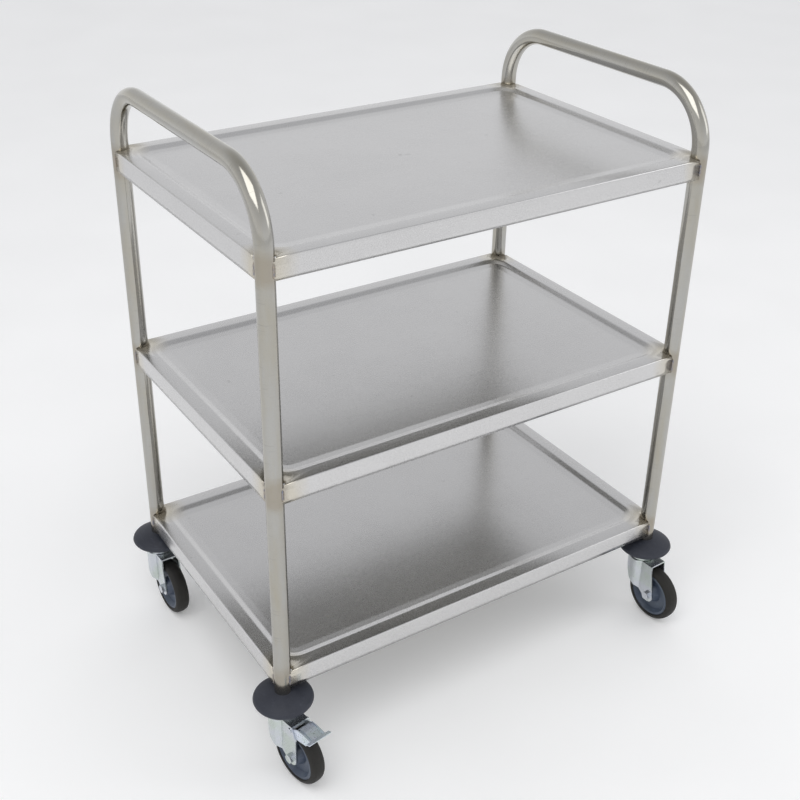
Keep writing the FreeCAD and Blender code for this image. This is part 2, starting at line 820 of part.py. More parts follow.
def make_brake_pedal(corner):
    """A pressed pedal: two walls inside the fork, a floor with a raised rib, and a wide lip."""
    body = new_body(f"brake_pedal_{corner}")
    plates = [
        ("Rib", PEDAL_LINE, "0", "pedal_rib_half_width"),
        ("Floor", PEDAL_LINE[1:4], "pedal_floor_drop", "pedal_half_width"),
        ("Lip", PEDAL_LINE[3:], "0", "pedal_lip_half_width"),
    ]
    for name, line, drop, half_width in plates:
        side = outline(new_sketch(body, f"{name}Side", "XZ_Plane"), plate_outline(line, drop))
        extrude(body, "Pad", name, side, f"2 * {half_width}", "Symmetric")
        doc.recompute()
    wall_corners = [
        ("wall_back_trail", "wall_back_high"),
        ("wall_back_trail", "wall_back_low"),
        ("wall_heel_trail", "wall_heel_height"),
        ("wall_toe_trail", "wall_toe_height"),
        ("pedal_dip_trail + pedal_gauge", "pedal_dip_height - pedal_gauge"),
        ("pedal_dip_trail + pedal_gauge", "pedal_dip_height"),
        ("pedal_crest_trail", "pedal_crest_height"),
        ("pedal_fold_trail", "pedal_fold_height"),
        ("fork_front_reach", "wall_back_high"),
    ]
    for name, side in (("Left", -1), ("Right", 1)):
        offset = f"{side} * ( pedal_half_width - pedal_gauge / 2 )"
        wall = outline(new_sketch(body, f"{name}Wall", "XZ_Plane", offset), wall_corners)
        extrude(body, "Pad", f"{name}Side", wall, "pedal_gauge", "Symmetric")
        doc.recompute()
    hole = circle(new_sketch(body, "PinHole", "XZ_Plane"), BRAKE_PIN, "pin_radius + running_clearance")
    extrude(body, "Pocket", "PinBore", hole, "through_cut", "Symmetric")
    place_at_corner(body, corner, turn=True)


def make_brake_pin(corner):
    """The rivet through both fork legs on which the pedal turns."""
    body = new_body(f"brake_pin_{corner}")
    shank = circle(new_sketch(body, "Shank", "XZ_Plane"), BRAKE_PIN, "pin_radius")
    extrude(body, "Pad", "Rod", shank, "2 * fork_half_width", "Symmetric")
    doc.recompute()
    for name, side in (("Left", 1), ("Right", -1)):
        offset = f"{side} * ( fork_half_width + pin_head_step / 2 )"
        head = new_sketch(body, f"{name}End", "XZ_Plane", offset)
        circle(head, BRAKE_PIN, "pin_radius + pin_head_step")
        extrude(body, "Pad", f"{name}Head", head, "pin_head_step", "Symmetric")
        doc.recompute()
    place_at_corner(body, corner, turn=True)


def released(trail):
    """Where a shoe point rests that meets the tyre at this trail once the pedal is down."""
    reach = f"( {trail} - pin_trail )"
    contact = f"( ( wheel_radius + shoe_gap ) ^ 2 - ( {trail} - castor_trail ) ^ 2 )"
    drop = f"( wheel_radius + sqrt{contact} - pin_height )"
    cosine, sine = "cos( brake_throw * 1deg )", "sin( brake_throw * 1deg )"
    across = f"pin_trail + {reach} * {cosine} - {drop} * {sine}"
    up = f"pin_height + {reach} * {sine} + {drop} * {cosine}"
    return across, up


def make_brake_shoe(corner):
    """The block under the pedal's floor, hollowed to the tyre, that bears on it."""
    body = new_body(f"brake_shoe_{corner}")
    side = new_sketch(body, "ShoeSide", "XZ_Plane")
    back, front = released("shoe_back_contact"), released("shoe_front_contact")
    top = "pedal_crest_height - pedal_floor_drop - pedal_gauge"
    corners = [
        (*back, "wheel_radius + shoe_gap", -1),
        front,
        (front[0], f"{top} - shoe_shoulder_drop"),
        ("pedal_crest_trail", top),
        (back[0], f"{top} - shoe_shoulder_drop"),
    ]
    outline(side, corners)
    extrude(body, "Pad", "Block", side, "2 * shoe_half_width", "Symmetric")
    place_at_corner(body, corner, turn=True)


# --- Assembly ---------------------------------------------------------------------------------


def make_castor(corner, braked):
    make_stem(corner)
    make_upper_race(corner)
    make_fork(corner, braked)
    make_axle_bolt(corner)
    make_axle_nut(corner)
    make_sleeve(corner)
    make_hub(corner)
    make_tyre(corner)
    if braked:
        make_brake_pedal(corner)
        make_brake_pin(corner)
        make_brake_shoe(corner)


def make_trolley():
    make_end_frame("end_frame_left", -1)
    make_end_frame("end_frame_right", 1)
    for name, level in SHELVES.items():
        make_shelf(f"{name}_shelf", level)
        make_stiffener(f"{name}_stiffener", level)
    for corner, (*_, braked) in CORNERS.items():
        make_buffer(corner)
        make_leg_plug(corner)
        make_castor(corner, braked)
    make_balls()
    doc.recompute()


def sub_parts():
    kinds = ("PartDesign::Body", "Part::Feature")
    return [item for item in doc.Objects if item.TypeId in kinds]


def check_document():
    """Stops when any object failed or any sub-part has no valid solid."""
    for item in doc.Objects:
        if {"Invalid", "Error"} & set(item.State):
            raise RuntimeError(f"{item.Name} ({item.Label}) failed: {item.State}")
    for item in sub_parts():
        if item.Shape.isNull() or not item.Shape.isValid() or item.Shape.Volume <= 0:
            raise RuntimeError(f"{item.Label} has no valid shape")


def write_parts():
    os.makedirs("parts", exist_ok=True)
    for item in sub_parts():
        item.Shape.exportStep(f"parts/{item.Label}.step")
        print(f"{item.Label}: {len(item.Shape.Solids)} solid(s), {item.Shape.Volume:.0f} mm3")


make_trolley()
check_document()
write_parts()
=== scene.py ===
"""Looks for the food service trolley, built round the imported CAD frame. Metres, +Z up."""

import math
import random

import bmesh
import bpy
from mathutils import Matrix, Vector


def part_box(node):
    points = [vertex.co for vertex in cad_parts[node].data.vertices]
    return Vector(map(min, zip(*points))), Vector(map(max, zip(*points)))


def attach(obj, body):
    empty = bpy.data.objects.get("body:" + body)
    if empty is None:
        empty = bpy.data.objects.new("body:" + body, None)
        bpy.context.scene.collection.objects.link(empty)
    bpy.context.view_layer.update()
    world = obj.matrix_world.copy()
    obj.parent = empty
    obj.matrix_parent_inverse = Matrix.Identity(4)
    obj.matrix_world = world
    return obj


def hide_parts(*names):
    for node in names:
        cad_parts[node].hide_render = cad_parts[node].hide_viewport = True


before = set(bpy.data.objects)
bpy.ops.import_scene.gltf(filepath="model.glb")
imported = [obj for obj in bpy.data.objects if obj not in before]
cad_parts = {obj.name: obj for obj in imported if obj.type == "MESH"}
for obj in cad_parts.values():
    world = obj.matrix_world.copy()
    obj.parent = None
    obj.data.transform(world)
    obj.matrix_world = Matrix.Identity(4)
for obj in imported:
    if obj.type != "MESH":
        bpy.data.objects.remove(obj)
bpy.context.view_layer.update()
random.seed(7)

MM = 0.001
CORNERS = {
    "near_left": (-1, -1),
    "near_right": (1, -1),
    "far_left": (-1, 1),
    "far_right": (1, 1),
}

BRAKED = ("near_left", "far_right")

# --- Sizes read from the frame ---------------------------------------------------------------

LEFT_LOW, LEFT_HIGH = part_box("end_frame_left")
RIGHT_LOW, RIGHT_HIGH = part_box("end_frame_right")
TUBE_RADIUS = (LEFT_HIGH.x - LEFT_LOW.x) / 2
LEG_X = (RIGHT_LOW.x + RIGHT_HIGH.x) / 2
LEG_Y = LEFT_HIGH.y - TUBE_RADIUS
LEG_FOOT = LEFT_LOW.z
HANDLE_LINE = LEFT_HIGH.z - TUBE_RADIUS

SHELF_NAMES = ("bottom", "middle", "top")
RIM_HEIGHTS = tuple(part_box(f"{name}_shelf")[1].z for name in SHELF_NAMES)
SHELF_HALF_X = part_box("top_shelf")[1].x
SHELF_HALF_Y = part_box("top_shelf")[1].y
FLANGE_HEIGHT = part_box("top_shelf")[1].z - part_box("top_shelf")[0].z

# --- Sizes the frame's boxes don't give ------------------------------------------------------

BEND_RADIUS = 86 * MM
TUBE_WALL = 1.2 * MM
TUBE_MOUTH = 25 * MM  # how far the wall's inner face is drawn up inside an open end
SHEET_GAUGE = 1.0 * MM
RIM_WIDTH = 22.0 * MM

# The dish's two slopes as (width, drop). They follow the CAD tray's to about 0.35 mm.
UPPER_SLOPE = (9.5 * MM, 4.2 * MM)
LOWER_SLOPE = (12.5 * MM, 1.0 * MM)
SLOPE_WIDTH = UPPER_SLOPE[0] + LOWER_SLOPE[0]
WELL_CORNER = 32 * MM
SLOPE_BLEND = 2.4 * MM
FLANGE_BEND = 2.0 * MM
CORNER_RELIEF = 2.6 * MM
RELIEF_SLOT_END = 5.0 * MM  # how far below the rim the slots beside the legs end
RELIEF_STEP = 0.6 * MM
RIM_MARGIN = 5 * MM  # flat rim drawn outside the dish
DECK_MARGIN = 4 * MM  # flat deck drawn inside the dish
LEAST_RADIUS = 2 * MM

# The camera, solved from the outline of the frame and shelves.
CAMERA_PLACE = (-0.9230, -1.3935, 1.3807)
CAMERA_TURN, CAMERA_TILT, CAMERA_ROLL = (math.radians(value) for value in (-33.05, 29.20, 0.908))
CAMERA_LENS, CAMERA_SENSOR = 53.96, 36
CAMERA_SHIFT = (0.0041, -0.0249)

FLOOR_HALF = 9.0
FLOOR_GLOW = 0.12


# --- Node material helpers -------------------------------------------------------------------


class Nodes:
    """Short names for building one material's node tree."""

    def __init__(self, name):
        self.material = bpy.data.materials.new(name)
        self.material.use_nodes = True
        self.tree = self.material.node_tree
        self.shader = self.tree.nodes["Principled BSDF"]

    def add(self, kind, inputs=None, **settings):
        node = self.tree.nodes.new(kind)
        for key, value in settings.items():
            setattr(node, key, value)
        for key, value in (inputs or {}).items():
            self.plug(value, node.inputs[key])
        return node

    def plug(self, value, socket):
        if isinstance(value, bpy.types.NodeSocket):
            self.tree.links.new(value, socket)
        else:
            socket.default_value = value

    def set(self, **inputs):
        for key, value in inputs.items():
            self.plug(value, self.shader.inputs[key.replace("_", " ")])

    def coordinates(self, kind="Object"):
        return self.add("ShaderNodeTexCoord").outputs[kind]

    def scaled(self, vector, scale, rotation=(0, 0, 0), location=(0, 0, 0)):
        inputs = {"Vector": vector, "Scale": scale, "Rotation": rotation, "Location": location}
        return self.add("ShaderNodeMapping", inputs).outputs["Vector"]

    def noise(self, vector, scale=1.0, detail=3.0, roughness=0.55):
        inputs = {"Vector": vector, "Scale": scale, "Detail": detail, "Roughness": roughness}
        return self.add("ShaderNodeTexNoise", inputs).outputs["Fac"]

    def ramp(self, value, low, high, low_out=0.0, high_out=1.0):
        inputs = {0: value, 1: low, 2: high, 3: low_out, 4: high_out}
        return self.add("ShaderNodeMapRange", inputs, clamp=True).outputs[0]

    def math(self, operation, first, second=0.0):
        return self.add("ShaderNodeMath", {0: first, 1: second}, operation=operation).outputs[0]

    def mix(self, factor, first, second):
        node = self.add("ShaderNodeMix", data_type="RGBA")
        self.plug(factor, node.inputs[0])
        self.plug(first, node.inputs[6])
        self.plug(second, node.inputs[7])
        return node.outputs[2]

    def parts(self, vector):
        return self.add("ShaderNodeSeparateXYZ", {0: vector}).outputs

    def bump(self, height, strength, distance, normal=None):
        inputs = {"Height": height, "Strength": strength, "Distance": distance}
        if normal is not None:
            inputs["Normal"] = normal
        return self.add("ShaderNodeBump", inputs).outputs["Normal"]


class WorldNodes(Nodes):
    """The same short names for the world's node tree, which has no material."""

    def __init__(self, world):
        world.use_nodes = True
        self.tree = world.node_tree


def rgb(red, green, blue):
    return (red, green, blue, 1.0)


def shaded(colour, share):
    """A colour made darker or lighter by a share, no brighter than 1."""
    return rgb(*(min(value * share, 1) for value in colour))


def scratches(nodes, vector, angle, density, length=40.0, width=2400.0):
    """Thin random hair marks at one angle: 1 on a mark, 0 elsewhere."""
    lined = nodes.scaled(vector, (length, width, width), rotation=(0, 0, math.radians(angle)))
    return nodes.ramp(nodes.noise(lined, 1.0, 1.0, 0.4), 1.0 - density, 1.0 - density + 0.05)


def near_legs(n, place):
    """Distance from the nearest leg's axis, for the heat marks that welding leaves."""
    x, y, _ = n.parts(place)
    across = n.math("SUBTRACT", n.math("ABSOLUTE", x), LEG_X)
    deep = n.math("SUBTRACT", n.math("ABSOLUTE", y), LEG_Y)
    squares = n.math("ADD", n.math("MULTIPLY", across, across), n.math("MULTIPLY", deep, deep))
    return n.math("SQRT", squares)


def stainless_sheet(name, tint, roughness):
    """Satin stainless sheet: fine speckled grain, soft smudges, hair marks and heat tint at the legs."""
    n = Nodes(name)
    place = n.coordinates("Object")
    grain = n.noise(n.scaled(place, (6.0, 900.0, 900.0)), 1.0, 4.0, 0.65)
    speckle = n.noise(place, 800.0, 3.0, 0.7)
    smudge = n.noise(place, 9.0, 6.0, 0.66)
    cloud = n.noise(place, 2.6, 2.0, 0.5)
    marks = n.math("MAXIMUM", scratches(n, place, 24, 0.27), scratches(n, place, -61, 0.26, 70.0))
    marks = n.math("MAXIMUM", marks, scratches(n, place, 78, 0.25, 55.0, 1900.0))
    spots = n.ramp(n.noise(place, 62.0, 2.0, 0.5), 0.735, 0.775)
    base = n.mix(n.ramp(smudge, 0.42, 0.72), rgb(*tint), shaded(tint, 0.955))
    base = n.mix(n.ramp(grain, 0.3, 0.8, 0.0, 0.25), base, shaded(tint, 1.06))
    base = n.mix(n.ramp(speckle, 0.36, 0.64, 0.0, 0.6), base, shaded(tint, 0.84))
    base = n.mix(n.math("MULTIPLY", marks, 0.14), base, shaded(tint, 0.6))
    base = n.mix(n.math("MULTIPLY", spots, 0.35), base, shaded(tint, 0.55))
    heat = n.math("ADD", near_legs(n, place), n.ramp(smudge, 0.3, 0.7, -0.007, 0.007))
    straw = rgb(tint[0] * 0.90, tint[1] * 0.83, tint[2] * 0.66)
    burnt = rgb(0.30, 0.265, 0.225)
    base = n.mix(n.ramp(heat, 0.020, 0.046, 0.65, 0.0), base, straw)
    base = n.mix(n.ramp(heat, 0.0130, 0.0172, 0.38, 0.0), base, burnt)
    rough = n.ramp(smudge, 0.35, 0.75, roughness - 0.01, roughness + 0.02)
    rough = n.math("ADD", rough, n.ramp(speckle, 0.3, 0.7, -0.02, 0.03))
    n.set(Base_Color=base, Metallic=1.0, Roughness=rough)
    normal = n.bump(cloud, 0.04, 0.0022)
    normal = n.bump(speckle, 0.20, 0.00003, normal)
    normal = n.bump(grain, 0.07, 0.00004, normal)
    normal = n.bump(marks, 0.25, 0.00004, normal)
    n.set(Normal=normal)
    return n.material


def stainless_tube(name, tint, roughness):
    """Stainless tube: fine marks, soft bands and heat tint at the trays. Uses the tube's own UV."""
    n = Nodes(name)
    place = n.coordinates("UV")
    world = n.coordinates("Object")
    ticks = n.noise(n.scaled(place, (55.0, 1900.0, 1.0)), 1.0, 3.0, 0.6)
    smudge = n.noise(world, 17.0, 5.0, 0.65)
    bands = n.noise(n.scaled(place, (46.0, 8.0, 1.0)), 1.0, 4.0, 0.6)
    marks = n.ramp(n.noise(n.scaled(place, (34.0, 620.0, 1.0)), 1.0, 1.0, 0.4), 0.69, 0.74)
    warm = rgb(tint[0] * 0.95, tint[1] * 0.90, tint[2] * 0.78)
    base = n.mix(n.ramp(bands, 0.35, 0.7), rgb(*tint), warm)
    base = n.mix(n.ramp(ticks, 0.35, 0.75, 0.0, 0.5), base, shaded(tint, 0.84))
    base = n.mix(n.math("MULTIPLY", marks, 0.4), base, shaded(tint, 0.5))
    height = n.parts(world)[2]
    burnt = rgb(0.33, 0.285, 0.22)
    for rim in RIM_HEIGHTS:
        away = n.math("ABSOLUTE", n.math("SUBTRACT", height, rim - FLANGE_HEIGHT / 2))
        away = n.math("ADD", away, n.ramp(smudge, 0.3, 0.7, -0.008, 0.010))
        base = n.mix(n.ramp(away, 0.014, 0.030, 0.55, 0.0), base, burnt)
    rough = n.ramp(smudge, 0.3, 0.7, roughness - 0.03, roughness + 0.05)
    rough = n.math("ADD", n.ramp(ticks, 0.3, 0.8, -0.03, 0.04), rough)
    n.set(Base_Color=base, Metallic=1.0, Roughness=rough)
    normal = n.bump(bands, 0.12, 0.0010)
    normal = n.bump(ticks, 0.16, 0.00004, normal)
    n.set(Normal=normal)
    return n.material


def zinc_plate(name, tint, roughness, metallic=0.95):
    """Bright zinc plating: a fine grain with faint blue and green drift, and a little dirt."""
    n = Nodes(name)
    place = n.coordinates("Object")
    spangle = n.noise(place, 420.0, 3.0, 0.6)
    hue = n.noise(place, 30.0, 3.0, 0.55)
    dirt = n.noise(place, 120.0, 4.0, 0.7)
    green = rgb(tint[0] * 0.90, tint[1] * 0.95, tint[2] * 0.84)
    base = n.mix(n.ramp(hue, 0.42, 0.60), rgb(*tint), green)
    base = n.mix(n.ramp(dirt, 0.66, 0.80, 0.0, 0.14), base, rgb(0.22, 0.22, 0.23))
    rough = n.ramp(spangle, 0.3, 0.7, roughness - 0.015, roughness + 0.02)
    n.set(Base_Color=base, Metallic=metallic, Roughness=rough)
    normal = n.bump(hue, 0.12, 0.0010)
    n.set(Normal=n.bump(spangle, 0.04, 0.00002, normal))
    return n.material


def moulded(name, tint, worn, roughness):
    """Moulded rubber or plastic: fine surface texture, colour drift and scuffs."""
    n = Nodes(name)
    place = n.coordinates("Object")
    fine = n.noise(place, 900.0, 3.0, 0.6)
    drift = n.noise(place, 26.0, 4.0, 0.6)
    scuff = n.ramp(n.noise(n.scaled(place, (160.0, 60.0, 420.0)), 1.0, 3.0, 0.7), 0.58, 0.74)
    base = n.mix(n.ramp(drift, 0.35, 0.68), rgb(*tint), rgb(*worn))
    base = n.mix(n.math("MULTIPLY", scuff, 0.4), base, shaded(worn, 1.8))
    worn_rough = n.ramp(drift, 0.3, 0.7, roughness, roughness + 0.10)
    rough = n.math("ADD", n.ramp(fine, 0.3, 0.7, -0.05, 0.06), worn_rough)
    n.set(Base_Color=base, Roughness=rough)
    normal = n.bump(drift, 0.2, 0.0006)
    n.set(Normal=n.bump(fine, 0.35, 0.00005, normal))
    return n.material


def weld_metal(name):
    """Weld bead: ripples, straw and blue heat tint, rougher than the sheet."""
    n = Nodes(name)
    place = n.coordinates("Object")
    tint = n.noise(place, 140.0, 3.0, 0.6)
    ripple = n.noise(place, 900.0, 2.0, 0.6)
    base = n.mix(n.ramp(tint, 0.4, 0.65), rgb(0.42, 0.37, 0.31), rgb(0.24, 0.25, 0.31))
    n.set(Base_Color=base, Metallic=1.0, Roughness=n.ramp(ripple, 0.3, 0.7, 0.36, 0.6))
    n.set(Normal=n.bump(ripple, 0.5, 0.0003))
    return n.material


# --- Mesh helpers ----------------------------------------------------------------------------


def new_object(name, points, faces, material, sharp=32.0):
    mesh = bpy.data.meshes.new(name)
    mesh.from_pydata([tuple(point) for point in points], [], faces)
    mesh.update()
    mesh.shade_smooth()
    mesh.set_sharp_from_angle(angle=math.radians(sharp))
    mesh.materials.append(material)
    thing = bpy.data.objects.new(name, mesh)
    bpy.context.scene.collection.objects.link(thing)
    return thing


def fix_normals(thing):
    """Makes every face point outwards."""
    work = bmesh.new()
    work.from_mesh(thing.data)
    bmesh.ops.recalc_face_normals(work, faces=work.faces)
    work.to_mesh(thing.data)
    work.free()
    return thing


def arc_points(centre, radius, start, end, steps):
    """Points of an arc in a plane, angles in degrees."""
    points = []
    for step in range(steps + 1):
        angle = math.radians(start + (end - start) * step / steps)
        points.append((centre[0] + radius * math.cos(angle), centre[1] + radius * math.sin(angle)))
    return points


# --- End frames ------------------------------------------------------------------------------


def frame_stations(x):
    """Places along an end frame's centre line with the direction of travel at each."""
    inner, shoulder = LEG_Y - BEND_RADIUS, HANDLE_LINE - BEND_RADIUS
    stations = []
    leg_steps, bend_steps, handle_steps = 40, 24, 20
    for step in range(leg_steps):
        height = LEG_FOOT + (shoulder - LEG_FOOT) * step / leg_steps
        stations.append((Vector((x, -LEG_Y, height)), Vector((0, 0, 1))))
    for step in range(bend_steps + 1):
        angle = math.pi / 2 * step / bend_steps
        ahead, rise = math.sin(angle), math.cos(angle)
        spot = Vector((x, -inner - BEND_RADIUS * rise, shoulder + BEND_RADIUS * ahead))
        stations.append((spot, Vector((0, ahead, rise))))
    for step in range(1, handle_steps):
        across = -inner + 2 * inner * step / handle_steps
        stations.append((Vector((x, across, HANDLE_LINE)), Vector((0, 1, 0))))
    near_half = reversed(stations[: leg_steps + bend_steps + 1])
    far_half = [(Vector((x, -p.y, p.z)), Vector((0, t.y, -t.z))) for p, t in near_half]
    return stations + far_half


def make_end_frame(name, x, material):
    """One bent tube, with wall thickness at its open ends and UVs in metres round and along it."""
    stations = frame_stations(x)
    around = 64
    side = Vector((1, 0, 0))
    bore = TUBE_RADIUS - TUBE_WALL
    rows = [(stations[0], bore, TUBE_MOUTH), (stations[0], bore, 0.0)]
    rows += [(station, TUBE_RADIUS, 0.0) for station in stations]
    rows += [(stations[-1], bore, 0.0), (stations[-1], bore, -TUBE_MOUTH)]
    points, lengths, travelled = [], [], 0.0
    before = rows[0][0][0]
    for (spot, along), radius, push in rows:
        travelled += (spot - before).length
        before = spot
        lengths.append(travelled)
        out = along.cross(side)
        for step in range(around):
            angle = 2 * math.pi * step / around
            reach = (side * math.cos(angle) + out * math.sin(angle)) * radius
            points.append(spot + along * push + reach)
    faces, uvs = [], []
    for row in range(len(rows) - 1):
        for step in range(around):
            after = (step + 1) % around
            low, high = row * around, (row + 1) * around
            faces.append((low + step, low + after, high + after, high + step))
            span = 2 * math.pi * TUBE_RADIUS / around
            for turn, line in ((step, row), (step + 1, row), (step + 1, row + 1), (step, row + 1)):
                uvs.append((turn * span, lengths[line]))
    tube = new_object(name, points, faces, material)
    layer = tube.data.uv_layers.new(name="along")
    for loop, uv in zip(layer.data, uvs):
        loop.uv = uv
    return tube


# --- Shelves ---------------------------------------------------------------------------------

CORNER_STEPS = 14
SIDE_STEPS = 28


def mirrored_corner(points, side_x, side_y):
    """One corner's points, ordered anticlockwise for the given corner."""
    turned = [(x * side_x, y * side_y) for x, y in points]
    return turned if side_x * side_y > 0 else turned[::-1]


def closed_loop(corner_points):
    """A loop round the tray from one corner's points, with even steps along each side."""
    order = ((1, 1), (-1, 1), (-1, -1), (1, -1))
    corners = [mirrored_corner(corner_points, *sides) for sides in order]
    loop = []
    for index, corner in enumerate(corners):
        loop += corner
        start, end = corner[-1], corners[(index + 1) % 4][0]
        for step in range(1, SIDE_STEPS):
            share = step / SIDE_STEPS
            x = start[0] + (end[0] - start[0]) * share
            y = start[1] + (end[1] - start[1]) * share
            loop.append((x, y))
    return loop


def sharp_slope(inset):
    """Height of the tray's top below its rim at an inset from the edge, before its bends are rounded."""
    (upper_width, upper_drop), (lower_width, lower_drop) = UPPER_SLOPE, LOWER_SLOPE
    upper = min(max((inset - RIM_WIDTH) / upper_width, 0.0), 1.0)
    lower = min(max((inset - RIM_WIDTH - upper_width) / lower_width, 0.0), 1.0)
    return -upper * upper_drop - lower * lower_drop


def slope_height(inset):
    """The same height with rounded bends: the mean of the sharp one over a short span."""
    steps = 8
    spread = [SLOPE_BLEND * (step / steps - 0.5) for step in range(steps + 1)]
    return sum(sharp_slope(inset + offset) for offset in spread) / len(spread)


def dish_loops():
    """Loops of the pressed dish from the flat rim inwards to the flat deck."""
    first, last = RIM_WIDTH - SLOPE_BLEND, RIM_WIDTH + SLOPE_WIDTH + SLOPE_BLEND
    count = 34
    insets = [RIM_WIDTH - RIM_MARGIN]
    insets += [first + (last - first) * step / count for step in range(count + 1)]
    insets += [last + DECK_MARGIN]
    centre_x = SHELF_HALF_X - RIM_WIDTH - WELL_CORNER
    centre_y = SHELF_HALF_Y - RIM_WIDTH - WELL_CORNER
    loops = []
    for inset in insets:
        radius = max(RIM_WIDTH + WELL_CORNER - inset, LEAST_RADIUS)
        shift = max(inset - RIM_WIDTH - WELL_CORNER + LEAST_RADIUS, 0.0)
        corner = arc_points((centre_x - shift, centre_y - shift), radius, 0, 90, CORNER_STEPS)
        loops.append((closed_loop(corner), slope_height(inset)))
    return loops


def notch_corner():
    """The rim's edge round a leg: a relief slot at each flange and a round cut that fits the tube."""
    edge_x, edge_y = SHELF_HALF_X - FLANGE_BEND, SHELF_HALF_Y - FLANGE_BEND
    out_x, out_y = edge_x - LEG_X, edge_y - LEG_Y
    reach_x = math.sqrt(TUBE_RADIUS**2 - out_x**2)
    reach_y = math.sqrt(TUBE_RADIUS**2 - out_y**2)
    first = math.degrees(math.atan2(-reach_x - CORNER_RELIEF * 0.6, out_x * 0.55))
    last = 90 - math.degrees(math.atan2(-reach_y - CORNER_RELIEF * 0.6, out_y * 0.55)) - 360
    start = (edge_x, LEG_Y - reach_x - CORNER_RELIEF)
    end = (LEG_X - reach_y - CORNER_RELIEF, edge_y)
    cut = arc_points((LEG_X, LEG_Y), TUBE_RADIUS, first, last, CORNER_STEPS - 2)
    return [start] + cut + [end]


def flange_rows():
    """Rows of the turned-down edge: (outward step, height, gap at each end)."""
    rows = []
    bend_steps, flat_steps = 6, 4
    for step in range(1, bend_steps + 1):
        angle = math.pi / 2 * step / bend_steps
        outward = FLANGE_BEND * (math.sin(angle) - 1)
        rows.append((outward, FLANGE_BEND * (math.cos(angle) - 1), CORNER_RELIEF))
    flat_top = RELIEF_SLOT_END + RELIEF_STEP
    rows += [(0.0, -RELIEF_SLOT_END, CORNER_RELIEF), (0.0, -flat_top, 0.0)]
    for step in range(1, flat_steps + 1):
        rows.append((0.0, -flat_top - (FLANGE_HEIGHT - flat_top) * step / flat_steps, 0.0))
    return rows


def flange_ends(outward, gap, along_x):
    """Half length of a flange row whose ends meet the round legs."""
    half = (SHELF_HALF_Y if along_x else SHELF_HALF_X) + outward
    leg_across = LEG_Y if along_x else LEG_X
    leg_along = LEG_X if along_x else LEG_Y
    offset = min(abs(half - leg_across), TUBE_RADIUS)
    return leg_along - math.sqrt(TUBE_RADIUS**2 - offset**2) - gap


def make_shelf(name, rim_height, material, back_shaded_material):
    """A pressed tray of one gauge: rim, sloped well, flat deck and four flanges notched round the legs."""
    loops = [(closed_loop(notch_corner()), 0.0)] + dish_loops()
    points, faces = [], []
    per_loop = len(loops[0][0])
    for loop, height in loops:
        points += [(x, y, rim_height + height) for x, y in loop]
    for ring in range(len(loops) - 1):
        for index in range(per_loop):
            after = (index + 1) % per_loop
            outer, inner = ring * per_loop, (ring + 1) * per_loop
            faces.append((outer + index, outer + after, inner + after, inner + index))
    faces.append(tuple((len(loops) - 1) * per_loop + index for index in range(per_loop)))

    corner_points = CORNER_STEPS + 1
    for side in range(4):
        along_x = side % 2 == 0
        start = side * (corner_points + SIDE_STEPS - 1) + CORNER_STEPS
        top = [(start + step) % per_loop for step in range(SIDE_STEPS + 1)]
        sign = 1 if side < 2 else -1
        outward_sign = (0, sign) if along_x else (-sign, 0)
        previous = top
        for outward, drop, gap in flange_rows():
            half = flange_ends(outward, gap, along_x)
            row = []
            for step in range(SIDE_STEPS + 1):
                share = 1 - 2 * step / SIDE_STEPS
                if along_x:
                    spot = (sign * share * half, outward_sign[1] * (SHELF_HALF_Y + outward))
                else:
                    spot = (outward_sign[0] * (SHELF_HALF_X + outward), sign * share * half)
                row.append(len(points))
                points.append((spot[0], spot[1], rim_height + drop))
            for step in range(SIDE_STEPS):
                faces.append((previous[step], row[step], row[step + 1], previous[step + 1]))
            previous = row
    tray = new_object(name, points, faces, material, 24.0)
    fix_normals(tray)
    thick = tray.modifiers.new("gauge", "SOLIDIFY")
    thick.thickness = SHEET_GAUGE
    thick.offset = -1
    thick.use_even_offset = True
    # The underside and the flanges' inner faces take a second sheet: rougher for a duller underside
    # finish, and darker as painted shade.
    tray.data.materials.append(back_shaded_material)
    thick.material_offset = 1
    thick.material_offset_rim = 0
    return tray


# --- Weld beads ------------------------------------------------------------------------------

BEAD_RADIUS = 1.5 * MM
BEAD_TOP = 7.5 * MM  # how far below the rim the beads start
BEAD_LENGTH = 20 * MM


def bead_places():
    """Where the flanges' ends meet the legs, as (x, y)."""
    end_x, end_y = flange_ends(0.0, 0.0, True), flange_ends(0.0, 0.0, False)
    places = []
    for side_x, side_y in CORNERS.values():
        places.append((side_x * end_x, side_y * SHELF_HALF_Y))
        places.append((side_x * SHELF_HALF_X, side_y * end_y))
    return places


def make_welds(name, rim_height, material):
    """Short upright weld beads at both ends of a tray's flanges, each a run of uneven ripples."""
    around, steps = 10, 18
    points, faces = [], []
    for x, y in bead_places():
        start = len(points)
        length = BEAD_LENGTH * random.uniform(0.85, 1.05)
        for step in range(steps + 1):
            share = step / steps
            taper = min(1.0, 5 * share + 0.25, 5 * (1 - share) + 0.45)
            radius = BEAD_RADIUS * taper * random.uniform(0.84, 1.12)
            height = rim_height - BEAD_TOP - length * share
            off_x, off_y = random.uniform(-0.2, 0.2) * MM, random.uniform(-0.2, 0.2) * MM
            for turn in range(around):
                angle = 2 * math.pi * turn / around
                bead_x = x + off_x + radius * math.cos(angle)
                bead_y = y + off_y + radius * math.sin(angle)
                points.append((bead_x, bead_y, height))
        for step in range(steps):
            for turn in range(around):
                after, low = (turn + 1) % around, start + step * around
                faces.append((low + turn, low + after, low + around + after, low + around + turn))
        faces.append(tuple(start + turn for turn in range(around)))
        faces.append(tuple(start + steps * around + turn for turn in range(around)))
    return fix_normals(new_object(name, points, faces, material, 60.0))


# --- Looks on the CAD nodes ------------------------------------------------------------------


